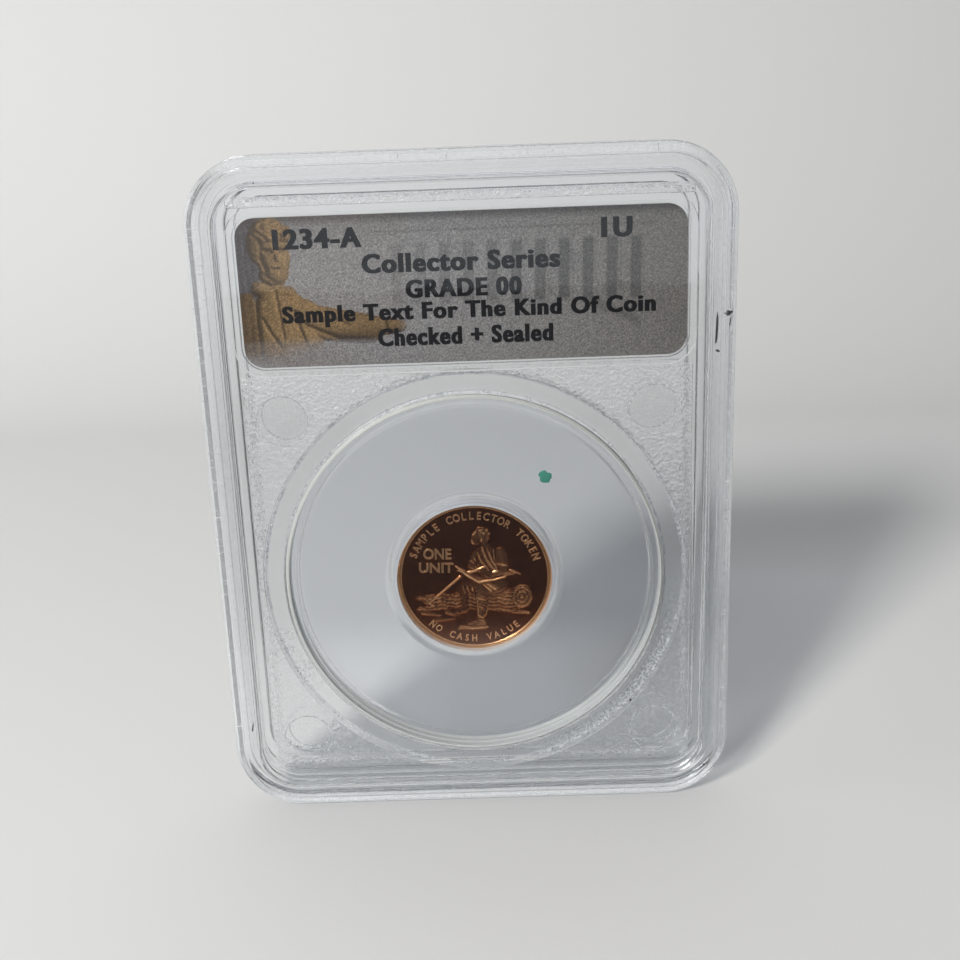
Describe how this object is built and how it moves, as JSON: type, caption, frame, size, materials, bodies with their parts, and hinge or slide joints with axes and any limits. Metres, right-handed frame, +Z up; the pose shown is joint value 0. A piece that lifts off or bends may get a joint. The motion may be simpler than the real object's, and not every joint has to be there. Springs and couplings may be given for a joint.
{
  "type": "graded coin slab",
  "caption": "Clear welded coin holder with a stacking rim, printed label cards over a round window, and a copper coin gripped in a clear disc.",
  "frame": {"origin": "middle of the flat bottom edge that the case stands on", "axes": "+X to the right across the width, -Y out of the front face, +Z up along the height"},
  "size_m": [0.0624, 0.008, 0.0812],
  "materials": {
    "clear_case": "clear polystyrene, polished windows and finely grained panels",
    "clear_disc": "clear, glossy",
    "copper": "struck copper, dark red-brown field and bright rim",
    "printed_card": "warm grey print on coated card",
    "white_card": "white printed card",
    "foil": "diffracting foil"
  },
  "bodies": {
    "root": {"front_shell": "clear_case", "rear_shell": "clear_case", "coin_disc": "clear_disc", "coin": "copper", "front_label": "printed_card", "rear_label": "white_card", "seal_foil": "foil"}
  },
  "joints": []
}
